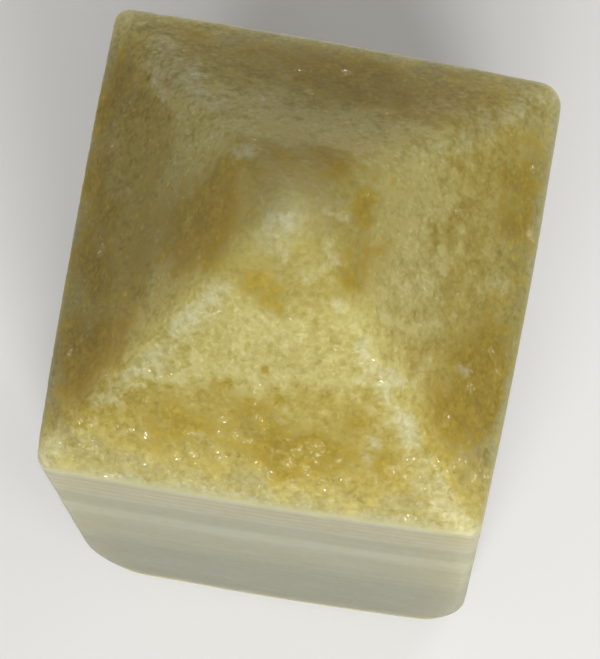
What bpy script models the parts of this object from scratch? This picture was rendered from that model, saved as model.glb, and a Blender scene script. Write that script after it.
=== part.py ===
"""Calcite tower: a four-sided column of banded honey calcite, ground to a four-sided point and polished.

Units are metres and +Z is up. The origin is at the centre of the flat base, and the front wall faces -Y.
The stone is one solid. It is lofted from level slices: each slice is the column's plan, drawn in towards
the point's axis by the profile, with its corners rounded and its sides bowed out a little.
"""

import math

import bpy
from mathutils import Vector

MM = 0.001

# Driving dimensions
WIDTH = 36.45 * MM           # left wall to right wall, before the grinding drift below
DEPTH = 37.45 * MM           # front wall to back wall
RIM_HEIGHT = 75.5 * MM       # where the upright walls meet the sloping facets
TIP_HEIGHT = 25.2 * MM       # from that rim to where the four facets would meet
TIP_DRIFT = (-0.5 * MM, -0.1 * MM)   # the point was ground a little off the column's axis

# How far each corner stands from a true rectangle, in x and y: the block was squared up by hand.
RIM_DRIFT = {
    "front_left": (0.55 * MM, -0.15 * MM),
    "front_right": (-0.65 * MM, 0.40 * MM),
    "back_right": (0.05 * MM, -0.30 * MM),
    "back_left": (0.05 * MM, 0.15 * MM),
}
BASE_DRIFT = {
    "front_left": (-0.75 * MM, -0.45 * MM),
    "front_right": (-0.05 * MM, 0.05 * MM),
    "back_right": (0.74 * MM, -0.05 * MM),
    "back_left": (-0.45 * MM, 0.40 * MM),
}
CORNER_SIGNS = {
    "front_left": (-1, -1),
    "front_right": (1, -1),
    "back_right": (1, 1),
    "back_left": (-1, 1),
}

# Polished roundings
CORNER_RADIUS = {                # upright corners, and the ridges that run up from them
    "front_left": 1.2 * MM,
    "front_right": 1.0 * MM,
    "back_right": 2.0 * MM,
    "back_left": 1.3 * MM,
}
BASE_CORNER_RADIUS = {           # upright corners, at the base
    "front_left": 6.0 * MM,
    "front_right": 5.0 * MM,
    "back_right": 5.0 * MM,
    "back_left": 5.5 * MM,
}
FOOT_HEIGHT = 28.0 * MM          # up to where the extra rounding of the base's corners dies out
FOOT_POWER = 3.2                 # how quickly it dies out
BASE_EDGE_RADIUS = 1.8 * MM      # around the flat base
RIM_EDGE_RADIUS = 0.9 * MM       # along the rim
APEX_RADIUS = 1.3 * MM           # ball that the point is rounded to
SIDE_BOW = 0.20 * MM             # how far a wall or facet stands proud at its middle

# Scooped chips in the polished edges: ball centre, ball radius. Each ball takes away what it holds.
CHIPS = {
    "front_left_rim": (Vector((-18.9, -20.1, 76.5)) * MM, 3.0 * MM),
    "front_left_ridge": (Vector((-16.4, -17.4, 80.0)) * MM, 2.5 * MM),
    "front_right_rim": (Vector((18.0, -18.8, 76.0)) * MM, 1.5 * MM),
    "front_right_ridge_low": (Vector((16.1, -16.8, 79.9)) * MM, 2.2 * MM),
    "front_right_ridge_high": (Vector((12.0, -12.7, 85.9)) * MM, 2.5 * MM),
}

# Fineness of the loft
CORNER_STEPS = 5
SIDE_STEPS = 9
FOOT_STEPS = 7
WALL_STEPS = 5
FACET_STEPS = 18
EDGE_STEPS = 4
CHIP_RINGS = (0.5 * MM, 1.1 * MM, 1.8 * MM)   # extra slices on either side of the rim, to carry the chips

FULL_ROUND = 0.49                             # largest corner radius, as a share of a slice's shortest side

HALF = (WIDTH + DEPTH) / 4                    # mean distance of a wall from the axis
SLOPE = math.atan2(TIP_HEIGHT, HALF)          # of a facet, from level
APEX_BALL_HEIGHT = RIM_HEIGHT + TIP_HEIGHT - APEX_RADIUS / math.cos(SLOPE)   # of the apex ball's centre


def corner_at(name, height):
    """Sharp corner of the column's plan at a height: its drift runs evenly from the base to the rim."""
    sign_x, sign_y = CORNER_SIGNS[name]
    share = min(height / RIM_HEIGHT, 1.0)
    base, rim = Vector(BASE_DRIFT[name]), Vector(RIM_DRIFT[name])
    return Vector((sign_x * WIDTH / 2, sign_y * DEPTH / 2)) + base.lerp(rim, share)


def base_edge_profile():
    """Quarter round from the flat base up to the wall, as (height, inset) pairs."""
    for step in range(EDGE_STEPS + 1):
        angle = math.pi / 2 * step / EDGE_STEPS
        yield BASE_EDGE_RADIUS * (1 - math.cos(angle)), BASE_EDGE_RADIUS * (1 - math.sin(angle))


def rim_edge_profile():
    """Round that turns the upright wall into the facet."""
    turn = math.pi / 2 - SLOPE
    start = RIM_HEIGHT - RIM_EDGE_RADIUS * math.tan(turn / 2)
    for step in range(EDGE_STEPS + 1):
        angle = turn * step / EDGE_STEPS
        yield start + RIM_EDGE_RADIUS * math.sin(angle), RIM_EDGE_RADIUS * (1 - math.cos(angle))


def apex_profile():
    """Ball that the four facets run into, from where it leaves them to just short of its pole."""
    for step in range(EDGE_STEPS):
        angle = SLOPE * (1 - step / EDGE_STEPS)
        yield APEX_BALL_HEIGHT + APEX_RADIUS * math.cos(angle), HALF - APEX_RADIUS * math.sin(angle)


def between(lower, upper, steps):
    """Evenly spaced (height, inset) pairs strictly between two others."""
    for step in range(1, steps):
        share = step / steps
        yield tuple(a + (b - a) * share for a, b in zip(lower, upper))


def profile():
    """(height, inset) of every slice, from the edge of the flat base to the top of the point."""
    base, rim, apex = list(base_edge_profile()), list(rim_edge_profile()), list(apex_profile())
    wall_top, facet_foot = rim[0], rim[-1]
    below = [(wall_top[0] - gap, 0.0) for gap in reversed(CHIP_RINGS)]
    above = []
    for gap in CHIP_RINGS:
        above.append((facet_foot[0] + gap * math.sin(SLOPE), facet_foot[1] + gap * math.cos(SLOPE)))
    foot_top = (FOOT_HEIGHT, 0.0)
    foot = list(between(base[-1], foot_top, FOOT_STEPS))
    wall = [foot_top] + list(between(foot_top, below[0], WALL_STEPS))
    facet = list(between(above[-1], apex[0], FACET_STEPS))
    return base + foot + wall + below + rim + above + facet + apex


def corner_radius(name, height, shortest_side):
    """Rounding of one corner of a slice: it is largest at the base, and fills the slice near the apex."""
    share = max(0.0, 1 - height / FOOT_HEIGHT) ** FOOT_POWER
    radius = CORNER_RADIUS[name] + (BASE_CORNER_RADIUS[name] - CORNER_RADIUS[name]) * share
    return min(radius, FULL_ROUND * shortest_side)


def corner_arc(before, corner, after, radius):
    """Points of the round that replaces one sharp corner of a slice."""
    to_before, to_after = (before - corner).normalized(), (after - corner).normalized()
    half_angle = to_before.angle(to_after) / 2
    centre = corner + (to_before + to_after).normalized() * radius / math.sin(half_angle)
    start = corner + to_before * radius / math.tan(half_angle) - centre
    turn = (math.pi - 2 * half_angle) / CORNER_STEPS
    points = []
    for step in range(CORNER_STEPS + 1):
        cos, sin = math.cos(turn * step), math.sin(turn * step)
        points.append(centre + Vector((cos * start.x - sin * start.y, sin * start.x + cos * start.y)))
    return points


def bowed_side(start, end, bow):
    """Points strictly between two corner rounds, on a side that stands proud by bow at its middle."""
    along = end - start
    outward = Vector((along.y, -along.x)).normalized()
    points = []
    for step in range(1, SIDE_STEPS):
        share = step / SIDE_STEPS
        points.append(start + along * share + outward * bow * (1 - (2 * share - 1) ** 2))
    return points


def slice_points(height, inset):
    """One closed slice of the stone, anticlockwise from above, as 3-D points."""
    scale = 1 - inset / HALF
    drift = Vector(TIP_DRIFT) * max(0.0, (height - RIM_HEIGHT) / TIP_HEIGHT)
    corners = [corner_at(name, height) * scale + drift for name in CORNER_SIGNS]
    shortest_side = min((b - a).length for a, b in zip(corners, corners[1:] + corners[:1]))
    arcs = []
    for index, name in enumerate(CORNER_SIGNS):
        radius = corner_radius(name, height, shortest_side)
        arcs.append(corner_arc(corners[index - 1], corners[index], corners[(index + 1) % 4], radius))
    plan = []
    for arc, next_arc in zip(arcs, arcs[1:] + arcs[:1]):
        plan += arc + bowed_side(arc[-1], next_arc[0], SIDE_BOW * scale)
    return [Vector((point.x, point.y, height)) for point in plan]


def chipped(point):
    """The point, or where the scoop of a chip leaves it."""
    for centre, radius in CHIPS.values():
        offset = point - centre
        if offset.length < radius:
            point = centre + offset.normalized() * radius
    return point


def tower_mesh(name):
    """Closed mesh of the whole stone: the slices joined by bands, a flat base and a fan at the apex."""
    rings = [slice_points(height, inset) for height, inset in profile()]
    around = len(rings[0])
    points = [chipped(point) for ring in rings for point in ring]
    points.append(Vector((*TIP_DRIFT, APEX_BALL_HEIGHT + APEX_RADIUS)))
    faces = [tuple(reversed(range(around)))]
    for row in range(len(rings) - 1):
        low, high = row * around, (row + 1) * around
        for i in range(around):
            j = (i + 1) % around
            faces.append((low + i, low + j, high + j, high + i))
    top = (len(rings) - 1) * around
    faces += [(top + i, top + (i + 1) % around, len(points) - 1) for i in range(around)]
    mesh = bpy.data.meshes.new(name)
    mesh.from_pydata(points, [], faces)
    mesh.update()
    mesh.shade_smooth()
    mesh.set_sharp_from_angle(angle=math.radians(25))
    return mesh


def calcite_material():
    """Polished honey calcite: waxy, slightly translucent, not metallic."""
    material = bpy.data.materials.new("calcite")
    material.use_nodes = True
    shader = material.node_tree.nodes["Principled BSDF"]
    shader.inputs["Base Color"].default_value = (0.50, 0.43, 0.20, 1.0)
    shader.inputs["Roughness"].default_value = 0.30
    shader.inputs["Metallic"].default_value = 0.0
    shader.inputs["IOR"].default_value = 1.55
    return material


def clear_scene():
    for obj in list(bpy.data.objects):
        bpy.data.objects.remove(obj, do_unlink=True)


def main():
    clear_scene()
    tower = bpy.data.objects.new("calcite_tower", tower_mesh("calcite_tower"))
    tower.data.materials.append(calcite_material())
    bpy.context.scene.collection.objects.link(tower)


main()
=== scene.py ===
"""Looks of the calcite tower: its ground and polished surface, its banded honey stone, and a pale studio.

Lengths are in millimetres, as the stone is measured, and become metres where they enter Blender. Only the
studio's floor and lights are laid out in metres. The dressed stone repeats the loft of the CAD solid and its
chips at a finer step, and adds grain relief, worn edges and pits.
"""

import math
import random

import bpy
import numpy as np
from mathutils import Matrix, Vector, noise

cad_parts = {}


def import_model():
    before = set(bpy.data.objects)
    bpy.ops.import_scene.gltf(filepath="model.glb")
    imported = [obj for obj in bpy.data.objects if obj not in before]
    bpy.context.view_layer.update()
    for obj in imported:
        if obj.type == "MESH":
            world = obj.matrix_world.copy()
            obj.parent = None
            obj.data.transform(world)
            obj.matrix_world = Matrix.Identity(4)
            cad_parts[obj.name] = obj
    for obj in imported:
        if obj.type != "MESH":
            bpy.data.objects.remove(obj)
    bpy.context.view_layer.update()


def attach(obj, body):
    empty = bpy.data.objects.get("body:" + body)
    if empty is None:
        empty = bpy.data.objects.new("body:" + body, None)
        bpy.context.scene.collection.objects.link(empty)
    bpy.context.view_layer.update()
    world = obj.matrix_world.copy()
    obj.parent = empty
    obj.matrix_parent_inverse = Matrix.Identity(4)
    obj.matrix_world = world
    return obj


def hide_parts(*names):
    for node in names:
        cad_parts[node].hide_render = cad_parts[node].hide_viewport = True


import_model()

MM = 0.001

# ---------------------------------------------------------------- form of the stone, as in the CAD solid
# Corners are listed in the order front left, front right, back right, back left.
WIDTH, DEPTH = 36.45, 37.45
RIM_HEIGHT, TIP_HEIGHT = 75.5, 25.2
TIP_DRIFT = np.array((-0.5, -0.1))
CORNER_SIGNS = np.array(((-1, -1), (1, -1), (1, 1), (-1, 1)))
RIM_DRIFT = np.array(((0.55, -0.15), (-0.65, 0.40), (0.05, -0.30), (0.05, 0.15)))
BASE_DRIFT = np.array(((-0.75, -0.45), (-0.05, 0.05), (0.74, -0.05), (-0.45, 0.40)))
CORNER_RADIUS = np.array((1.2, 1.0, 2.0, 1.3))
BASE_CORNER_RADIUS = np.array((6.0, 5.0, 5.0, 5.5))
FOOT_HEIGHT, FOOT_POWER = 28.0, 3.2
BASE_EDGE_RADIUS, RIM_EDGE_RADIUS, APEX_RADIUS = 1.8, 0.9, 1.3
SIDE_BOW = 0.20
FULL_ROUND = 0.49
# Balls that scoop chips out of the edges: centre, radius.
CHIPS = (
    ((-18.9, -20.1, 76.5), 3.0),
    ((-16.4, -17.4, 80.0), 2.5),
    ((18.0, -18.8, 76.0), 1.5),
    ((16.1, -16.8, 79.9), 2.2),
    ((12.0, -12.7, 85.9), 2.5),
)
HALF = (WIDTH + DEPTH) / 4
SLOPE = math.atan2(TIP_HEIGHT, HALF)
APEX_BALL_HEIGHT = RIM_HEIGHT + TIP_HEIGHT - APEX_RADIUS / math.cos(SLOPE)
RIM_CORNERS = CORNER_SIGNS * (WIDTH / 2, DEPTH / 2) + RIM_DRIFT

# ---------------------------------------------------------------- fineness of the dressed mesh
CORNER_STEPS, SIDE_STEPS = 10, 108
LOWER_WALL_STEPS, UPPER_WALL_STEPS, FACET_STEPS, EDGE_STEPS = 34, 26, 96, 7
UPPER_WALL = 14.0            # depth below the rim where the slices lie closer together
BASE_TOLERANCE = 1e-6        # points of the smooth stone no higher than this lie on its flat base

# ---------------------------------------------------------------- camera
CAMERA_TARGET = (0.90, -4.58, 75.5)
CAMERA_DISTANCE = 251.85
CAMERA_AZIMUTH, CAMERA_ELEVATION, CAMERA_ROLL = 15.97, 79.70, -6.02      # degrees
CAMERA_LENS, SENSOR_LONG_SIDE = 175.0, 36.0
CAMERA_NEAR, CAMERA_FAR = 0.01, 20.0                                     # metres


# ---------------------------------------------------------------- smooth form
def wall_corners(height):
    """Sharp corners of the column's plan at a height."""
    share = min(height / RIM_HEIGHT, 1.0)
    return CORNER_SIGNS * (WIDTH / 2, DEPTH / 2) + BASE_DRIFT * (1 - share) + RIM_DRIFT * share


def arc_of_corner(before, corner, after, radius):
    """Points of the round that replaces one sharp corner of a slice."""
    to_before = (before - corner) / np.linalg.norm(before - corner)
    to_after = (after - corner) / np.linalg.norm(after - corner)
    half_angle = math.acos(float(to_before @ to_after)) / 2
    middle = (to_before + to_after) / np.linalg.norm(to_before + to_after)
    centre = corner + middle * radius / math.sin(half_angle)
    start = corner + to_before * radius / math.tan(half_angle) - centre
    angles = np.linspace(0, math.pi - 2 * half_angle, CORNER_STEPS + 1)
    cos, sin = np.cos(angles), np.sin(angles)
    return centre + np.stack((cos * start[0] - sin * start[1], sin * start[0] + cos * start[1]), 1)


def bowed_side(start, end, bow):
    """Points strictly between two corner rounds, on a side that stands proud by bow at its middle."""
    across = np.linspace(0, 1, SIDE_STEPS + 1)[1:-1, None]
    along = end - start
    outward = np.array((along[1], -along[0])) / np.linalg.norm(along)
    return start + along * across + outward * bow * (1 - (2 * across - 1) ** 2)


def slice_of_stone(height, inset):
    """One closed slice, anticlockwise from above, as an array of 3-D points."""
    scale = 1 - inset / HALF
    drift = TIP_DRIFT * max(0.0, (height - RIM_HEIGHT) / TIP_HEIGHT)
    corners = wall_corners(height) * scale + drift
    share = max(0.0, 1 - height / FOOT_HEIGHT) ** FOOT_POWER
    shortest_side = np.linalg.norm(np.roll(corners, -1, 0) - corners, axis=1).min()
    radii = CORNER_RADIUS + (BASE_CORNER_RADIUS - CORNER_RADIUS) * share
    radii = np.minimum(radii, FULL_ROUND * shortest_side)
    arcs = [arc_of_corner(corners[i - 1], corners[i], corners[(i + 1) % 4], radii[i]) for i in range(4)]
    parts = []
    for arc, next_arc in zip(arcs, arcs[1:] + arcs[:1]):
        parts += [arc, bowed_side(arc[-1], next_arc[0], SIDE_BOW * scale)]
    plan = np.concatenate(parts)
    return np.column_stack((plan, np.full(len(plan), height)))


def profile_of_stone():
    """(height, inset) of every slice, from the edge of the flat base to the top of the point."""
    quarter = np.linspace(0, math.pi / 2, EDGE_STEPS + 1)
    base = np.column_stack((1 - np.cos(quarter), 1 - np.sin(quarter))) * BASE_EDGE_RADIUS
    turn = math.pi / 2 - SLOPE
    bend = np.linspace(0, turn, EDGE_STEPS + 1)
    wall_top = RIM_HEIGHT - RIM_EDGE_RADIUS * math.tan(turn / 2)
    rim = np.column_stack((wall_top + RIM_EDGE_RADIUS * np.sin(bend), RIM_EDGE_RADIUS * (1 - np.cos(bend))))
    fall = SLOPE * (1 - np.arange(EDGE_STEPS) / EDGE_STEPS)
    apex = np.column_stack((APEX_BALL_HEIGHT + APEX_RADIUS * np.cos(fall), HALF - APEX_RADIUS * np.sin(fall)))
    band_foot = np.array((wall_top - UPPER_WALL, 0.0))
    lower = np.linspace(base[-1], band_foot, LOWER_WALL_STEPS + 1)[1:]
    upper = np.linspace(band_foot, rim[0], UPPER_WALL_STEPS + 1)[1:-1]
    facet = np.linspace(rim[-1], apex[0], FACET_STEPS + 1)[1:-1]
    return np.concatenate((base, lower, upper, rim, facet, apex))


# ---------------------------------------------------------------- what is placed on the stone
# Patches are ovals in plan: x, y, half length, half width, turn of the length from +X in degrees, strength.
HONEY_POOLS = (
    # wide and faint
    (-12.0, 0.0, 11.0, 4.5, 90, 0.30), (-17.4, 0.0, 13.0, 1.8, 90, 0.38), (17.2, -1.0, 13.0, 1.8, 90, 0.38),
    (0.0, 13.5, 9.0, 4.0, 0, 0.15), (0.5, -14.6, 9.0, 1.8, 0, 0.30), (0.0, 8.0, 6.0, 4.0, 0, 0.22),
    (-6.5, 1.0, 5.0, 3.0, 90, 0.25), (6.5, 4.0, 4.5, 2.5, 45, 0.28),
    # left facet
    (-5.8, 1.7, 2.4, 1.2, 100, 1.00), (-6.2, -1.8, 3.2, 2.4, 80, 0.60), (-9.3, -1.2, 3.6, 3.0, 90, 0.35),
    (-15.5, 1.3, 1.3, 0.9, 120, 0.80), (-17.2, 4.5, 1.7, 0.9, 105, 0.85), (-17.4, 10.2, 2.2, 0.8, 90, 0.85),
    (-16.6, 13.0, 2.0, 1.3, 90, 0.65), (-16.3, -2.4, 1.9, 1.6, 90, 0.50),
    (-14.7, -4.3, 1.9, 0.9, 100, 0.85), (-15.6, -9.4, 2.2, 2.0, 90, 0.85),
    (-13.3, -9.0, 1.8, 1.2, 90, 0.60), (-15.2, -11.9, 1.6, 1.2, 60, 0.70),
    # back facet
    (-0.6, 15.7, 4.6, 2.2, 0, 0.62), (3.0, 13.2, 2.2, 1.3, 0, 0.80), (-1.8, 13.4, 1.1, 0.7, 10, 0.70),
    (6.1, 13.6, 1.1, 0.9, 90, 0.70), (3.0, 16.3, 2.4, 1.8, 0, 0.55), (-11.6, 16.9, 1.8, 1.2, 10, 0.45),
    (-6.2, 16.5, 2.2, 1.2, 0, 0.40), (2.6, 4.6, 1.5, 0.9, 80, 0.85), (1.0, 5.4, 1.6, 0.7, 10, 0.60),
    (-2.2, 4.6, 1.6, 0.8, 150, 0.60), (9.5, 17.4, 3.0, 0.7, 0, 0.45),
    # right facet
    (14.0, -5.2, 1.5, 1.0, 90, 0.95), (15.6, -4.1, 2.1, 1.0, 100, 0.90), (16.5, -6.8, 2.6, 0.8, 90, 0.75),
    (15.0, -8.3, 2.3, 2.0, 90, 0.75), (14.3, -11.0, 1.6, 1.4, 90, 0.70), (13.2, -9.6, 1.4, 0.9, 90, 0.70),
    (15.3, 9.0, 0.9, 0.8, 90, 0.75), (16.7, 9.5, 4.0, 1.0, 90, 0.45), (15.6, 6.0, 1.6, 1.2, 30, 0.50),
    (5.4, -2.0, 2.4, 1.0, 95, 0.65), (4.8, 2.0, 1.2, 0.6, 70, 0.75), (7.0, -0.6, 2.4, 0.8, 90, 0.40),
    (4.8, -3.7, 1.0, 0.9, 0, 0.55),
    # front facet
    (-6.6, -14.5, 2.6, 1.4, 0, 0.70), (3.8, -14.4, 2.8, 1.1, 0, 0.90), (2.0, -16.2, 2.0, 0.7, 0, 0.80),
    (7.3, -12.1, 1.5, 0.7, 0, 0.90), (-3.8, -11.8, 1.2, 0.7, 0, 0.80), (-1.2, -13.0, 1.9, 0.9, 0, 0.55),
    (9.5, -14.6, 1.3, 1.2, 60, 0.65), (0.2, -14.7, 1.1, 0.9, 0, 0.55), (-2.1, -4.9, 1.4, 0.8, 10, 0.75),
    (-0.6, -5.6, 0.6, 0.9, 90, 0.60), (0.1, -6.6, 0.6, 0.7, 0, 0.55), (1.6, -9.0, 0.7, 0.5, 0, 0.40),
    # stained pits
    (-0.6, -10.3, 0.45, 0.30, 0, 1.00), (0.8, -12.0, 0.30, 0.26, 0, 1.00),
    (-2.9, -11.3, 0.28, 0.24, 0, 0.80),
)
# The two veils at the apex, at (0.0, -1.7) and (-0.2, -2.3), are milky stone and painted light as well: they
# also stand for light glowing through the thin tip.
MILKY_VEILS = (
    (-12.9, 14.0, 3.4, 2.0, 125, 0.80), (-11.1, 11.7, 1.6, 1.2, 60, 0.95), (-8.6, 9.4, 2.4, 1.4, 130, 0.65),
    (-4.7, 4.6, 1.1, 0.8, 150, 0.90), (-6.9, 6.2, 1.3, 0.8, 130, 0.40), (15.1, 15.5, 1.6, 0.8, 60, 0.85),
    (12.9, 12.9, 2.4, 1.3, 45, 0.55), (10.7, 10.3, 1.9, 1.2, 45, 0.45), (9.6, 13.2, 2.6, 0.8, 10, 0.40),
    (8.3, 8.4, 1.4, 0.9, 20, 0.35), (0.0, -1.7, 2.8, 2.4, 0, 0.27), (-0.2, -2.3, 0.6, 0.9, 0, 0.22),
    (1.8, -3.9, 1.3, 0.8, 30, 0.45), (3.2, 0.7, 0.8, 0.6, 0, 0.60), (3.3, -2.3, 0.9, 0.7, 0, 0.60),
    (4.5, -6.0, 0.9, 1.0, 10, 0.55), (7.8, -4.3, 0.7, 0.8, 0, 0.45), (-7.2, -7.9, 2.4, 1.4, 30, 0.38),
    (-9.3, -10.6, 2.2, 1.0, 20, 0.55), (-4.2, -5.8, 1.6, 1.2, 40, 0.34), (-13.4, -13.4, 1.2, 0.7, 20, 0.60),
    (-11.8, -12.6, 1.6, 0.8, 45, 0.35), (6.3, -7.4, 0.8, 0.5, 90, 0.80), (8.6, -9.2, 1.0, 0.8, 0, 1.00),
    (11.0, -11.8, 1.0, 0.8, 90, 0.75), (14.2, 3.0, 8.0, 2.5, 90, 0.20), (-2.0, -12.3, 10.0, 1.0, 0, 0.20),
    (14.9, -16.9, 2.6, 1.2, 135, 0.40), (-16.8, -17.0, 1.9, 1.2, 60, 0.90), (-14.2, 3.0, 0.6, 0.5, 0, 0.70),
    (15.4, 1.2, 1.2, 0.6, 80, 0.45), (14.6, -6.3, 0.6, 0.5, 0, 0.70), (7.8, -14.6, 0.5, 0.5, 0, 0.70),
    (8.5, -13.4, 0.6, 0.5, 0, 0.60), (1.2, -15.2, 0.9, 0.5, 0, 0.45), (-17.2, 17.2, 1.6, 1.4, 0, 0.70),
    (17.2, 17.0, 1.2, 1.2, 0, 0.60), (-5.0, -15.4, 0.9, 0.5, 0, 0.45),
)
# Painted light and shade in the colour: lighter and darker patches that stand for light which enters by one
# facet and leaves past the ridges, and for how brightly the facets near the apex and rims are lit.
PAINTED_SHADES = (
    (-9.6, -12.2, 7.5, 2.2, 48, -0.15), (-12.2, -8.4, 8.0, 1.8, 48, 0.09),
    (4.6, -7.3, 4.0, 1.6, 135, -0.08), (10.9, 6.9, 11.0, 3.2, 45, -0.08), (6.3, 11.5, 11.0, 2.5, 45, 0.06),
    (-15.4, 10.7, 6.0, 3.0, 133, -0.12), (-16.4, 0.0, 14.0, 2.2, 90, -0.11), (0.0, 6.5, 7.0, 4.5, 0, 0.14),
    (-5.5, 0.5, 5.0, 3.5, 90, 0.10), (17.0, 0.0, 14.0, 2.0, 90, -0.18), (-0.5, 1.2, 2.6, 2.6, 0, 0.08),
)
# Where cleavage faces lie close under the polish and flash in the coat, and where glints are painted pale in
# the colour.
SPARKLING = (
    (-8.0, -16.4, 9.0, 2.0, 0, 0.55), (4.0, -15.8, 10.0, 2.2, 0, 0.55), (-15.6, -16.8, 3.0, 1.8, 30, 1.00),
    (-9.6, -10.6, 4.5, 1.4, 45, 0.80), (-4.2, -6.0, 2.4, 1.0, 40, 0.60), (3.4, -7.4, 3.6, 1.6, 0, 0.60),
    (8.6, -10.2, 3.2, 1.2, 130, 0.90), (12.6, -14.0, 3.4, 1.6, 130, 1.00), (14.8, -8.0, 2.0, 5.0, 0, 0.30),
)
PATCH_REACH = 1.5            # depth below the rim over which the patches fade out
LEAST_SHADE = -0.5
# Wavelength and reach of the noise that gives patches a ragged edge, in two steps, and strips a crisper one.
RAGGED, MORE_RAGGED, CRISP = (2.6, 0.8), (0.9, 0.45), (1.2, 0.25)
EDGE_SEED = 7                # without it, vector noise differs from run to run
# Where the surface was moved further than this, it is frosted: frost per millimetre, and the most of it.
BROKEN_FROM, BROKEN_FROST, MOST_BROKEN_FROST = 0.1, 2, 0.6

# How frosted each ridge is, in the order of the corners.
RIDGE_FROST = (0.18, 0.20, 0.12, 0.12)
RIDGE_FROST_WIDTH = 1.1
# Milky strips that end cleanly at a ridge: corner, side of the ridge (1 is anticlockwise from above), where
# the strip starts and ends along the ridge from the apex, width, strength.
RIDGE_VEILS = (
    (0, 1, 5.0, 25.0, 3.8, 0.22),
    (1, -1, 9.0, 29.0, 2.6, 0.50),
)
RIDGE_FADE = 3.0             # length over which marks along a ridge fade in and out
VEIL_EDGE = 0.5              # width of a strip's clean edge
RIDGE_FOOT = RIM_HEIGHT - 0.6     # marks along a ridge end at this height

# ---------------------------------------------------------------- relief
# Plucked pits: their number, the range of their balls' radii, the lift of a ball's centre as a share of its
# radius, and how far below the rim they reach.
PIT_SEED, PITS = 5, 60
PIT_RADII, PIT_LIFT, PIT_ZONE = (0.35, 0.7), 0.82, 10
# Stained pits: x, y, size. The ball that scoops one has a radius and a lift that are shares of the size.
DARK_PITS = (
    (-9.8, -18.75, 0.20),
    (9.3, -18.4, 0.18),
    (16.3, -18.3, 0.22),
    (-0.6, -10.3, 0.24),
    (0.8, -12.0, 0.18),
)
DARK_PIT_BALL, DARK_PIT_LIFT = 1.6, 0.9
SWELL_HEIGHT, SWELL_SIZE = 0.05, 7.0
# Grain: size of a crystal, its height on the walls, and what is added to that on the facets.
GRAIN_SIZE, WALL_GRAIN, FACET_GRAIN = 0.9, 0.004, 0.02
# Worn edges: two sizes of bruise, the noise above which a bruise sinks, its depth, and broken grain on it.
BRUISE_SIZE, SMALL_BRUISE_SIZE = 1.3, 0.5
BRUISE_FROM, BRUISE_DEPTH = 0.05, 0.16
BROKEN_GRAIN_SIZE, BROKEN_GRAIN_HEIGHT = 0.6, 0.03
LEAST_WEAR = 0.02            # less worn than this counts as not worn
RIDGE_WEAR_WIDTH, RIM_WEAR_HEIGHT = 0.7, 0.45
FULL_FROST = 0.8             # frost of a ridge that would be worn in full
RIM_WEAR = 0.5               # wear along the rim
# The facets' relief starts this far below the rim, and grows over this height.
RELIEF_LEAD, RELIEF_RUN = 0.5, 1.5
TILT_SEED = 97.0             # spreads the crystals' centres before each draws its tilt
LEVEL_TILT = 0.4             # how much of a tilt raises or lowers the whole crystal


def scoop(points, centre, radius):
    """Takes away what a ball holds, by moving the points inside it out to its surface."""
    offset = points - np.array(centre)
    distance = np.linalg.norm(offset, axis=1)
    inside = distance < radius
    points[inside] = np.array(centre) + offset[inside] * (radius / distance[inside])[:, None]


def warped(points, wavelength, reach):
    """The points, each carried a little way by smooth noise: what is placed by them gets a ragged edge."""
    return points + np.array([noise.noise_vector(Vector(p) / wavelength) for p in points]) * reach


def patch_mask(points, patches, least=0.0):
    """Strength, from least to 1, of oval patches at each point; they fade out a short way down the walls."""
    below_rim = np.clip(RIM_HEIGHT - points[:, 2], 0, None)
    total = np.zeros(len(points))
    for x, y, length, width, turn, strength in patches:
        cos, sin = math.cos(math.radians(turn)), math.sin(math.radians(turn))
        dx, dy = points[:, 0] - x, points[:, 1] - y
        along, across = dx * cos + dy * sin, dy * cos - dx * sin
        fall = -(along / length) ** 2 - (across / width) ** 2 - (below_rim / PATCH_REACH) ** 2
        total += strength * np.exp(fall)
    return np.clip(total, least, 1)


def beside_ridge(points, corner):
    """How far each point lies along a ridge from the apex, and anticlockwise from it, in plan."""
    run = RIM_CORNERS[corner] - TIP_DRIFT
    run /= np.linalg.norm(run)
    offset = points[:, :2] - TIP_DRIFT
    return offset @ run, offset @ np.array((-run[1], run[0]))


def ridge_mask(points, width):
    """How near each point is to a ridge of the tip, weighted by how frosted that ridge is."""
    mask = np.zeros(len(points))
    for corner, frost in enumerate(RIDGE_FROST):
        along, across = beside_ridge(points, corner)
        near = np.exp(-(across / width) ** 2) * np.clip(along / RIDGE_FADE, 0, 1)
        mask = np.maximum(mask, frost * near * (points[:, 2] > RIDGE_FOOT))
    return mask


def ridge_veil(points):
    """Strength, from 0 to 1, of the milky strips beside the ridges."""
    total = np.zeros(len(points))
    for corner, side, start, end, width, strength in RIDGE_VEILS:
        along, across = beside_ridge(points, corner)
        inward = across * side
        ends = np.clip((along - start) / RIDGE_FADE, 0, 1) * np.clip((end - along) / RIDGE_FADE, 0, 1)
        clean_edge = np.clip(inward / VEIL_EDGE + 0.5, 0, 1)
        total += strength * ends * clean_edge * np.exp(-(inward / width) ** 2)
    return total * (points[:, 2] > RIDGE_FOOT)


def rim_mask(points):
    """How near each point is to the rim between walls and facets."""
    return np.exp(-((points[:, 2] - RIM_HEIGHT) / RIM_WEAR_HEIGHT) ** 2)


def pit_facets(points, normals):
    """Small open pits where grains have been plucked out in grinding, and a few larger stained ones."""
    dice = random.Random(PIT_SEED)
    upper = np.flatnonzero(points[:, 2] > RIM_HEIGHT - PIT_ZONE)
    for _ in range(PITS):
        at = upper[dice.randrange(len(upper))]
        radius = dice.uniform(*PIT_RADII)
        scoop(points, points[at] + normals[at] * radius * PIT_LIFT, radius)
    for x, y, size in DARK_PITS:
        below_facets = np.clip(RIM_HEIGHT - 1 - points[:, 2], 0, None)
        at = np.argmin(np.hypot(points[:, 0] - x, points[:, 1] - y) + below_facets)
        scoop(points, points[at] + normals[at] * size * DARK_PIT_LIFT, size * DARK_PIT_BALL)


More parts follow.
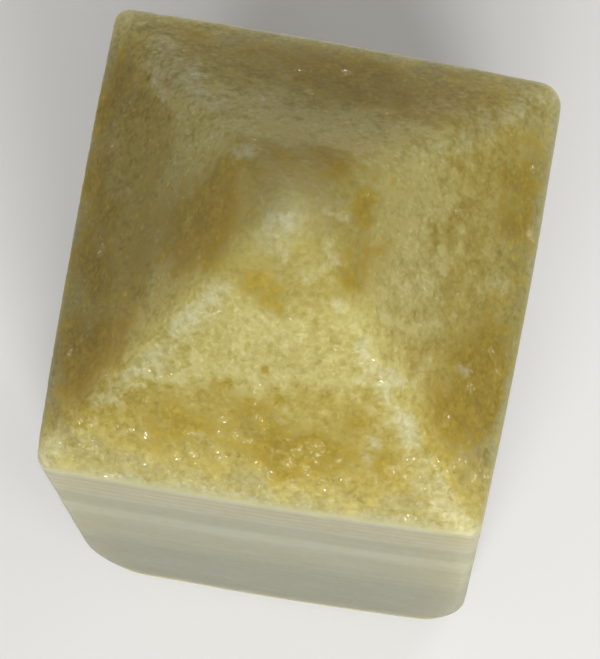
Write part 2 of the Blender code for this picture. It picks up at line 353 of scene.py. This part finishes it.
def cleavage_step(place, size):
    """Height of the little tilted plane that a crystal grain shows where it is cut, from -1 to 1."""
    centre = noise.voronoi(place / size)[1][0]
    tilt = noise.cell_vector(centre * TILT_SEED) * 2 - Vector((1, 1, 1))
    return max(-1.0, min(1.0, tilt.dot(place / size - centre) + LEVEL_TILT * tilt.z))


def wear_at(place):
    """Height of a fully worn edge at a place: bruises sink it, and broken grain roughens it."""
    bruise = noise.noise(place / BRUISE_SIZE) + 0.5 * noise.noise(place / SMALL_BRUISE_SIZE)
    sunk = BRUISE_DEPTH * min(0.0, BRUISE_FROM - bruise)
    return sunk + BROKEN_GRAIN_HEIGHT * cleavage_step(place, BROKEN_GRAIN_SIZE)


def relief(points, edges):
    """Height that the ground and polished surface stands proud at each point; edges says how worn it is."""
    heights = np.empty(len(points))
    tip = np.clip((points[:, 2] - RIM_HEIGHT + RELIEF_LEAD) / RELIEF_RUN, 0, 1)
    for i, p in enumerate(points):
        place = Vector(p)
        swell = SWELL_HEIGHT * noise.noise(place / SWELL_SIZE)
        grain = (WALL_GRAIN + FACET_GRAIN * tip[i]) * cleavage_step(place, GRAIN_SIZE)
        wear = edges[i] * wear_at(place) if edges[i] > LEAST_WEAR else 0.0
        heights[i] = swell + grain + wear
    return heights


# ---------------------------------------------------------------- dressed mesh
def vertex_normals(mesh):
    """Normals of a mesh's points, as an array."""
    normals = np.empty(len(mesh.vertices) * 3)
    mesh.vertex_normals.foreach_get("vector", normals)
    return normals.reshape(-1, 3)


def face_loops(rows, around):
    """Faces of the loft: the flat base, the bands between slices and the fan at the apex."""
    faces = [tuple(reversed(range(around)))]
    for row in range(rows - 1):
        low, high = row * around, (row + 1) * around
        for i in range(around):
            j = (i + 1) % around
            faces.append((low + i, low + j, high + j, high + i))
    top, pole = (rows - 1) * around, rows * around
    faces += [(top + i, top + (i + 1) % around, pole) for i in range(around)]
    return faces


def write_attribute(mesh, name, values):
    """Keeps one number per point on the mesh, for the material to read."""
    layer = mesh.attributes.new(name, "FLOAT", "POINT")
    layer.data.foreach_set("value", np.asarray(values, np.float32))


def write_marks(mesh, smooth, points):
    """Keeps on the mesh how much honey, milk, frost, sparkle and painted light and shade there is at each
    point.
    """
    noise.seed_set(EDGE_SEED)
    ragged = warped(warped(smooth, *RAGGED), *MORE_RAGGED)
    crisp = warped(smooth, *CRISP)
    moved = np.linalg.norm(points - smooth, axis=1)
    broken = np.clip((moved - BROKEN_FROM) * BROKEN_FROST, 0, MOST_BROKEN_FROST)
    write_attribute(mesh, "honey", patch_mask(ragged, HONEY_POOLS))
    write_attribute(mesh, "milk", np.clip(patch_mask(ragged, MILKY_VEILS) + ridge_veil(crisp), 0, 1))
    write_attribute(mesh, "frost", np.clip(ridge_mask(ragged, RIDGE_FROST_WIDTH) + broken, 0, 1))
    write_attribute(mesh, "sparkle", patch_mask(ragged, SPARKLING))
    # The shade attribute is painted light and shade, for the colour to read.
    write_attribute(mesh, "shade", patch_mask(ragged, PAINTED_SHADES, least=LEAST_SHADE))


def dressed_stone():
    """The whole stone as one fine mesh, with what the material reads kept on its points."""
    slices = [slice_of_stone(height, inset) for height, inset in profile_of_stone()]
    around = len(slices[0])
    smooth = np.concatenate(slices + [np.array(((*TIP_DRIFT, APEX_BALL_HEIGHT + APEX_RADIUS),))])
    points = smooth.copy()
    for centre, radius in CHIPS:
        scoop(points, centre, radius)
    mesh = bpy.data.meshes.new("calcite_tower_stone")
    mesh.from_pydata(points * MM, [], face_loops(len(slices), around))
    mesh.update()
    normals = vertex_normals(mesh)
    edges = ridge_mask(smooth, RIDGE_WEAR_WIDTH) / FULL_FROST + RIM_WEAR * rim_mask(smooth)
    pit_facets(points, normals)
    points += normals * relief(smooth, np.clip(edges, 0, 1))[:, None]
    points[smooth[:, 2] < BASE_TOLERANCE, 2] = 0.0
    points[:, 2] = np.maximum(points[:, 2], 0.0)
    mesh.vertices.foreach_set("co", (points * MM).astype(np.float32).ravel())
    mesh.update()
    mesh.shade_smooth()
    write_marks(mesh, smooth, points)
    stone = bpy.data.objects.new("calcite_tower_stone", mesh)
    bpy.context.scene.collection.objects.link(stone)
    return stone


# ---------------------------------------------------------------- shader graphs
class Graph:
    """Adds shader nodes to one material and wires them up."""

    def __init__(self, name):
        self.material = bpy.data.materials.new(name)
        self.material.use_nodes = True
        self.tree = self.material.node_tree
        self.tree.nodes.clear()

    def add(self, kind, settings=None, **inputs):
        node = self.tree.nodes.new(kind)
        for key, value in (settings or {}).items():
            setattr(node, key, value)
        for key, value in inputs.items():
            self.feed(node.inputs[key.replace("_", " ")], value)
        return node

    def feed(self, socket, value):
        if isinstance(value, bpy.types.NodeSocket):
            self.tree.links.new(value, socket)
        else:
            socket.default_value = value

    def math(self, operation, a, b=0.0, c=0.0):
        node = self.add("ShaderNodeMath", {"operation": operation})
        for socket, value in zip(node.inputs, (a, b, c)):
            self.feed(socket, value)
        return node.outputs[0]

    def sum(self, *terms):
        """Sum of (socket, factor, offset) terms: each adds factor * (socket - offset)."""
        total = 0.0
        for socket, factor, offset in terms:
            total = self.math("MULTIPLY_ADD", self.math("SUBTRACT", socket, offset), factor, total)
        return total

    def vector(self, operation, a, b=(0.0, 0.0, 0.0)):
        node = self.add("ShaderNodeVectorMath", {"operation": operation})
        self.feed(node.inputs[0], a)
        self.feed(node.inputs[1], b)
        return node.outputs[0]

    def stretch(self, vector, x, y, z):
        return self.vector("MULTIPLY", vector, (x, y, z))

    def mix(self, share, a, b, blend="MIX"):
        node = self.add("ShaderNodeMix", {"data_type": "RGBA", "blend_type": blend})
        self.feed(node.inputs["Factor"], share)
        self.feed(node.inputs[6], a if isinstance(a, bpy.types.NodeSocket) else (*a, 1.0))
        self.feed(node.inputs[7], b if isinstance(b, bpy.types.NodeSocket) else (*b, 1.0))
        return node.outputs[2]

    def step(self, value, low, high, to_low=0.0, to_high=1.0):
        """Runs smoothly from to_low to to_high while the value goes from low to high."""
        node = self.add("ShaderNodeMapRange", {"interpolation_type": "SMOOTHSTEP"}, Value=value)
        for name, number in (("From Min", low), ("From Max", high), ("To Min", to_low), ("To Max", to_high)):
            node.inputs[name].default_value = number
        return node.outputs[0]

    def noise(self, vector, scale, detail=2.0, roughness=0.5):
        return self.add("ShaderNodeTexNoise", Vector=vector, Scale=scale, Detail=detail, Roughness=roughness)

    def cells(self, vector, scale):
        return self.add("ShaderNodeTexVoronoi", Vector=vector, Scale=scale)

    def dice(self, vector):
        return self.add("ShaderNodeTexWhiteNoise", Vector=vector)

    def blobs(self, vector, scale):
        """Soft round grains, about half of them paler than what lies between them, by up to 0.5."""
        node = self.cells(vector, scale)
        red = self.add("ShaderNodeSeparateColor", Color=node.outputs["Color"]).outputs[0]
        tone = self.math("MAXIMUM", self.math("SUBTRACT", red, 0.5), 0.0)
        return self.math("MULTIPLY", tone, self.step(node.outputs["Distance"], 0.70, 0.10))

    def attribute(self, name):
        node = self.add("ShaderNodeAttribute", {"attribute_type": "GEOMETRY", "attribute_name": name})
        return node.outputs["Fac"]

    def ramp(self, value, stops):
        node = self.add("ShaderNodeValToRGB", Fac=value)
        elements = node.color_ramp.elements
        for index, (position, colour) in enumerate(stops):
            element = elements[index] if index < 2 else elements.new(position)
            element.position = position
            element.color = (*colour, 1.0)
        return node.outputs[0]

    def show(self, shader):
        output = self.add("ShaderNodeOutputMaterial")
        self.feed(output.inputs["Surface"], shader.outputs[0])


# ---------------------------------------------------------------- colours of the stone
# Linear reflectances of the growth layers.
VANILLA = (0.245, 0.228, 0.118)
SAND = (0.285, 0.254, 0.100)
PARCHMENT = (0.308, 0.284, 0.132)
CREAM = (0.398, 0.358, 0.136)
STRAW = (0.355, 0.308, 0.090)
OCHRE = (0.334, 0.276, 0.066)
AMBER = (0.303, 0.260, 0.074)
WAX = (0.286, 0.277, 0.158)
CHALK = (0.254, 0.244, 0.160)
MAUVE = (0.222, 0.208, 0.142)
BONE = (0.238, 0.235, 0.166)
BEIGE = (0.206, 0.202, 0.140)
DUSK = (0.178, 0.177, 0.133)
# Height, and tone of the stone there. Between two heights one tone runs into the next.
LAYERS = (
    (0.0, DUSK), (29.0, DUSK), (40.0, BEIGE), (48.0, BEIGE), (51.5, BONE), (55.0, BONE), (57.0, BEIGE),
    (62.6, BEIGE), (64.2, BONE), (65.4, MAUVE), (66.8, CHALK), (67.8, MAUVE), (69.2, CHALK), (70.2, MAUVE),
    (71.4, CHALK), (72.4, MAUVE), (73.8, CHALK), (75.3, WAX), (76.6, PARCHMENT), (78.6, STRAW), (80.6, OCHRE),
    (84.6, OCHRE), (86.6, CREAM), (91.6, CREAM), (93.8, AMBER), (95.8, AMBER), (97.8, SAND), (101.0, VANILLA),
)
LAYER_TOP = LAYERS[-1][0]
# What is laid over the layers, and the most of each that shows.
DEEP_HONEY, HONEY_SHARE = (0.290, 0.218, 0.024), 0.88
MILK, MILK_SHARE = (0.40, 0.385, 0.225), 0.75
FROST, FROST_SHARE = (0.50, 0.475, 0.30), 0.65
# Pale sugar of the crystal clusters, and painted glints: the same pale colour laid on the faces where the
# coat flashes.
SUGAR_AND_GLINT_PAINT, CLUSTER_SHARE, GLINT_PAINT_SHARE = (0.64, 0.58, 0.28), 0.08, 0.30
SAWN = (0.34, 0.32, 0.23)
# Darker stone is yellower, and lighter stone is whiter: powers of the tone that red and blue follow.
RED_POWER, BLUE_POWER = 0.85, 2.0

# ---------------------------------------------------------------- patterns in the stone
# Features per millimetre.
CLOUDS, BLOTCHES, FINES, GRAINS, CRYSTALS = 0.22, 0.8, 2.4, 0.9, 2.6
LAMINAE, FIBRES, CLUSTERS, FACES = 1.1, 2.2, 1.0, 3.8
# Taken off a pattern, so that it lightens the stone about as much as it darkens it.
NOISE_MEAN, BLOB_MEAN = 0.5, 0.06
CENTRE = (0.5, 0.5, 0.5)     # middle of a random colour
# How far the crystals' borders waver, in features per millimetre and in millimetres.
WAVERS, WAVER_REACH = 1.6, 0.6
UPRIGHT = 0.6                # what heights are multiplied by, so that crystals are longer upwards
FACETS_FROM, FACETS_FULL = RIM_HEIGHT - 0.3, RIM_HEIGHT + 0.9     # where walls turn into facets
LOWEST_ON_FACETS = RIM_HEIGHT + 1.5                               # lowest layer that the facets show
# The layers wander most on the facets. On the walls they keep a share of it, below and above these heights.
WAVED_TO, LEVEL_FROM = 50.0, 64.0
WAVED_SHARE, LEVEL_SHARE = 0.14, 0.06
# The sugary grain grows fainter towards the apex, between these heights, and is stronger at the back left.
FAINTER_FROM, FAINTER_TO, FAINTER_SHARE = 90.0, 98.0, 0.6
BACK_LEFT_FULL, BACK_LEFT_SHARE = 12.0, 1.2
WALL_SUGAR = 0.15
SAWN_TO, SAWN_FULL = 0.35, 0.05                                   # where the polish begins above the base
# Share of clusters that show where sparkle is full, what facets add to it, and share of faces that flash.
SPARKLING_CLUSTERS, PLAIN_CLUSTERS, FLASHING_FACES = 0.55, 0.04, 0.75
FACE_TURN = 1.25             # a cleavage face's normal leans by up to half of this along each axis
TURN_SEED = (31.0, 17.0, 5.0)
# Bump below the size of the mesh: its depth in metres, and its strength on the walls and on the facets.
GROUND_DEPTH, WALL_GROUND, FACET_GROUND = 0.00012, 0.06, 0.30
# Roughness of the satin walls, and what is added to it.
WALL_ROUGHNESS, FACET_POLISH, GRIT, FROSTED, UNPOLISHED = 0.70, -0.34, 0.20, 0.20, 0.30


class StoneGraph(Graph):
    """The stone's shader nodes, with the places and patterns that several of its looks read."""

    def __init__(self, name):
        super().__init__(name)
        self.place = self.stretch(self.add("ShaderNodeTexCoord").outputs["Object"], 1 / MM, 1 / MM, 1 / MM)
        self.x, self.y, self.height = self.add("ShaderNodeSeparateXYZ", Vector=self.place).outputs
        self.tip = self.step(self.height, FACETS_FROM, FACETS_FULL)
        waver = self.vector("SUBTRACT", self.noise(self.place, WAVERS).outputs["Color"], CENTRE)
        carried = self.vector("ADD", self.place, self.stretch(waver, WAVER_REACH, WAVER_REACH, WAVER_REACH))
        self.grown = self.stretch(carried, 1.0, 1.0, UPRIGHT)
        self.cloud = self.noise(self.place, CLOUDS, 3.0, 0.55).outputs[0]
        self.blotch = self.noise(self.grown, BLOTCHES, 3.0, 0.5).outputs[0]
        self.fine = self.noise(self.grown, FINES, 2.0, 0.5).outputs[0]
        self.grain = self.blobs(self.grown, GRAINS)
        self.crystal = self.blobs(self.grown, CRYSTALS)


# In the looks below, the numbers in a sum are the weights of its patterns and what is taken off each, and the
# first two in a step are the values between which it runs.
def layer_colour(g):
    """Growth layers: level near the rim, gently waved lower down, ragged where facets cut the crystals."""
    wander = g.sum((g.cloud, 9.0, NOISE_MEAN), (g.grain, 2.5, BLOB_MEAN), (g.blotch, 3.0, NOISE_MEAN))
    on_walls = g.step(g.height, WAVED_TO, LEVEL_FROM, WAVED_SHARE, LEVEL_SHARE)
    lift = g.math("MULTIPLY", wander, g.math("MAXIMUM", g.step(g.tip, 0.0, 1.0), on_walls))
    layer = g.math("MAXIMUM", g.math("ADD", g.height, lift), g.math("MULTIPLY", g.tip, LOWEST_ON_FACETS))
    return g.ramp(g.math("DIVIDE", layer, LAYER_TOP), [(at / LAYER_TOP, tone) for at, tone in LAYERS])


def with_pools_and_veils(g, colour):
    """Lays the honey pools and milky veils over a colour, with crystal-sized edges on the facets."""
    edge = g.sum((g.blotch, 1.3, NOISE_MEAN), (g.grain, 0.9, BLOB_MEAN), (g.fine, 0.9, NOISE_MEAN))
    edge = g.math("MULTIPLY", edge, g.tip)
    honey = g.step(g.math("ADD", g.attribute("honey"), edge), 0.20, 0.75)
    milk = g.step(g.sum((g.attribute("milk"), 1.0, 0.0), (edge, 0.40, 0.0)), 0.12, 0.85)
    colour = g.mix(g.math("MULTIPLY", honey, HONEY_SHARE), colour, DEEP_HONEY)
    return g.mix(g.math("MULTIPLY", milk, MILK_SHARE), colour, MILK)


def frost_of_edges(g):
    """How frosted and bruised each place is, from 0 to 1, in patches along the edges."""
    frost = g.attribute("frost")
    patchy = g.sum((frost, 1.0, 0.0), (g.blotch, 0.8, NOISE_MEAN), (g.cloud, 0.8, NOISE_MEAN))
    return g.math("MULTIPLY", g.step(patchy, 0.25, 0.95), g.step(frost, 0.0, 0.1))


def tone_of_grain(g):
    """Factor near 1 on the colour: sugary grain and painted light and shade on the facets, fine streaks on
    the walls.
    """
    sweet = g.math("MULTIPLY", g.step(g.tip, 0.0, 1.0, WALL_SUGAR, 1.0),
                   g.step(g.height, FAINTER_FROM, FAINTER_TO, 1.0, FAINTER_SHARE))
    to_back_left = g.math("SUBTRACT", g.y, g.x)
    sweet = g.math("MULTIPLY", sweet, g.step(to_back_left, 0.0, BACK_LEFT_FULL, 1.0, BACK_LEFT_SHARE))
    sugar = g.sum((g.blotch, 0.60, NOISE_MEAN), (g.grain, 0.44, BLOB_MEAN),
                  (g.crystal, 0.40, BLOB_MEAN), (g.fine, 0.72, NOISE_MEAN))
    # Adds the painted light and shade kept in the shade attribute.
    tone = g.math("ADD", g.math("MULTIPLY", sugar, sweet), g.attribute("shade"))
    laminae = g.noise(g.stretch(g.place, 0.03, 0.03, 1.0), LAMINAE, 3.0, 0.6).outputs[0]
    fibres = g.noise(g.stretch(g.place, 1.0, 1.0, 0.12), FIBRES, 2.0, 0.5).outputs[0]
    streaks = g.sum((laminae, 0.20, NOISE_MEAN), (fibres, 0.08, NOISE_MEAN), (g.cloud, 0.14, NOISE_MEAN))
    tone = g.math("MULTIPLY_ADD", streaks, g.step(g.tip, 1.0, 0.0), tone)
    return g.math("ADD", tone, 1.0)


def toned(g, colour, tone):
    """A colour made lighter or darker by the tone."""
    red, blue = g.math("POWER", tone, RED_POWER), g.math("POWER", tone, BLUE_POWER)
    tint = g.add("ShaderNodeCombineColor", Red=red, Green=tone, Blue=blue).outputs[0]
    return g.mix(1.0, colour, tint, "MULTIPLY")


def cleavage(g):
    """Crystal clusters under the polish: where they are, where their faces flash, and the faces' normals."""
    cluster = g.cells(g.grown, CLUSTERS)
    share = g.sum((g.attribute("sparkle"), SPARKLING_CLUSTERS, 0.0), (g.tip, PLAIN_CLUSTERS, 0.0))
    in_cluster = g.math("LESS_THAN", g.dice(cluster.outputs["Position"]).outputs["Value"], share)
    in_cluster = g.math("MULTIPLY", in_cluster, g.step(cluster.outputs["Distance"], 0.65, 0.35))
    face = g.cells(g.grown, FACES)
    flashes = g.math("LESS_THAN", g.dice(face.outputs["Position"]).outputs["Value"], FLASHING_FACES)
    is_face = g.math("MULTIPLY", flashes, in_cluster)
    is_face = g.math("MULTIPLY", is_face, g.step(face.outputs["Distance"], 0.45, 0.30))
    turn = g.dice(g.vector("ADD", face.outputs["Position"], TURN_SEED)).outputs["Color"]
    turn = g.stretch(g.vector("SUBTRACT", turn, CENTRE), FACE_TURN, FACE_TURN, FACE_TURN)
    normal = g.add("ShaderNodeNewGeometry").outputs["Normal"]
    return in_cluster, is_face, g.vector("NORMALIZE", g.vector("ADD", normal, turn))


def calcite_material():
    """Banded honey calcite: layers, honey pools, milky veils, sugary grain, frosted edges, glints in the coat
    and painted in the colour, and painted light and shade.
    """
    g = StoneGraph("polished_calcite")
    frost = frost_of_edges(g)
    in_cluster, is_face, mirror = cleavage(g)
    sawn = g.step(g.height, SAWN_TO, SAWN_FULL)

    colour = with_pools_and_veils(g, layer_colour(g))
    colour = g.mix(g.math("MULTIPLY", frost, FROST_SHARE), colour, FROST)
    colour = toned(g, colour, tone_of_grain(g))
    # Pale crystal clusters, and painted glints on the flashing faces.
    colour = g.mix(g.sum((in_cluster, CLUSTER_SHARE, 0.0), (is_face, GLINT_PAINT_SHARE, 0.0)), colour, SUGAR_AND_GLINT_PAINT)
    colour = g.mix(sawn, colour, SAWN)

    ground = g.sum((g.crystal, 0.5, 0.0), (g.fine, 0.8, 0.0))
    strength = g.step(g.tip, 0.0, 1.0, WALL_GROUND, FACET_GROUND)
    bump = g.add("ShaderNodeBump", Strength=strength, Distance=GROUND_DEPTH, Height=ground)
    grit = g.math("MULTIPLY", g.math("SUBTRACT", g.blotch, NOISE_MEAN), g.tip)
    rough = g.sum((g.tip, FACET_POLISH, 0.0), (grit, GRIT, 0.0),
                  (frost, FROSTED, 0.0), (sawn, UNPOLISHED, 0.0))

    shader = g.add("ShaderNodeBsdfPrincipled")
    g.feed(shader.inputs["Base Color"], colour)
    g.feed(shader.inputs["Roughness"], g.math("ADD", rough, WALL_ROUGHNESS))
    g.feed(shader.inputs["Normal"], bump.outputs[0])
    g.feed(shader.inputs["IOR"], 1.50)
    g.feed(shader.inputs["Specular IOR Level"], 0.12)
    g.feed(shader.inputs["Subsurface Weight"], 1.0)
    g.feed(shader.inputs["Subsurface Radius"], (1.0, 0.80, 0.45))
    g.feed(shader.inputs["Subsurface Scale"], 0.030)
    g.feed(shader.inputs["Coat Weight"], is_face)
    g.feed(shader.inputs["Coat Roughness"], 0.18)
    g.feed(shader.inputs["Coat IOR"], 2.2)
    g.feed(shader.inputs["Coat Normal"], mirror)
    g.show(shader)
    return g.material


# ---------------------------------------------------------------- studio
FLOOR_HALF = 3.0
FLOOR_TONE, FLOOR_ROUGHNESS, FLOOR_SPECULAR = (0.93, 0.93, 0.925, 1.0), 0.85, 0.2
PAPER_GRAINS = 900.0         # features per metre
PAPER_DEPTH = 0.0002
# name: azimuth and elevation in degrees, distance and size in metres, power in watts. The front is azimuth 0.
LIGHTS = {
    "front_softbox": (0.0, 28.0, 1.0, 0.6, 6.1),
    "high_softbox": (25.0, 45.0, 1.0, 0.25, 3.6),
    "right_softbox": (60.0, 18.0, 1.0, 0.5, 1.95),
    "back_softbox": (150.0, 18.0, 1.0, 0.5, 1.85),
}
WORLD_TONE, WORLD_STRENGTH = (1.0, 0.95, 0.87, 1.0), 0.24


def floor():
    """A plain pale paper floor under the stone."""
    corners = [Vector((x, y, 0.0)) * FLOOR_HALF for x, y in CORNER_SIGNS]
    mesh = bpy.data.meshes.new("studio_floor")
    mesh.from_pydata(corners, [], [(0, 1, 2, 3)])
    plane = bpy.data.objects.new("studio_floor", mesh)
    bpy.context.scene.collection.objects.link(plane)
    g = Graph("pale_paper")
    mottle = g.noise(g.add("ShaderNodeTexCoord").outputs["Object"], PAPER_GRAINS).outputs[0]
    bump = g.add("ShaderNodeBump", Strength=0.05, Distance=PAPER_DEPTH, Height=mottle)
    shader = g.add("ShaderNodeBsdfPrincipled")
    g.feed(shader.inputs["Base Color"], FLOOR_TONE)
    g.feed(shader.inputs["Roughness"], FLOOR_ROUGHNESS)
    g.feed(shader.inputs["Specular IOR Level"], FLOOR_SPECULAR)
    g.feed(shader.inputs["Normal"], bump.outputs[0])
    g.show(shader)
    mesh.materials.append(g.material)
    return plane


def direction(azimuth, elevation):
    """Unit vector from the object towards a place round it. Azimuth 0 is in front, and 90 to the right."""
    a, e = math.radians(azimuth), math.radians(elevation)
    return Vector((math.sin(a) * math.cos(e), -math.cos(a) * math.cos(e), math.sin(e)))


def lights():
    """Soft round lamps, all aimed at the middle of the stone."""
    aim = Vector((0, 0, 0.5 * (RIM_HEIGHT + TIP_HEIGHT) * MM))
    for name, (azimuth, elevation, distance, size, power) in LIGHTS.items():
        data = bpy.data.lights.new(name, "AREA")
        data.shape, data.size, data.energy = "DISK", size, power
        lamp = bpy.data.objects.new(name, data)
        bpy.context.scene.collection.objects.link(lamp)
        towards = direction(azimuth, elevation)
        lamp.location = aim + towards * distance
        lamp.rotation_euler = towards.to_track_quat("Z", "Y").to_euler()


def world():
    """Even, slightly warm light from all round."""
    made = bpy.data.worlds.new("studio")
    made.use_nodes = True
    background = made.node_tree.nodes["Background"]
    background.inputs["Color"].default_value = WORLD_TONE
    background.inputs["Strength"].default_value = WORLD_STRENGTH
    bpy.context.scene.world = made


def camera():
    """The camera, where the photograph was taken from."""
    data = bpy.data.cameras.new("camera")
    data.lens, data.sensor_width, data.sensor_fit = CAMERA_LENS, SENSOR_LONG_SIDE, "AUTO"
    data.clip_start, data.clip_end = CAMERA_NEAR, CAMERA_FAR
    cam = bpy.data.objects.new("camera", data)
    bpy.context.scene.collection.objects.link(cam)
    back = direction(CAMERA_AZIMUTH, CAMERA_ELEVATION)
    level = back.to_track_quat("Z", "Y").to_matrix()
    turned = level @ Matrix.Rotation(math.radians(CAMERA_ROLL), 3, "Z")
    place = Vector(CAMERA_TARGET) * MM + back * CAMERA_DISTANCE * MM
    cam.matrix_world = Matrix.Translation(place) @ turned.to_4x4()
    bpy.context.scene.camera = cam


camera()
world()
lights()
floor()
bpy.context.scene.view_settings.view_transform = "Standard"

stone = dressed_stone()
stone.data.materials.append(calcite_material())
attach(stone, "root")
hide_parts("calcite_tower")
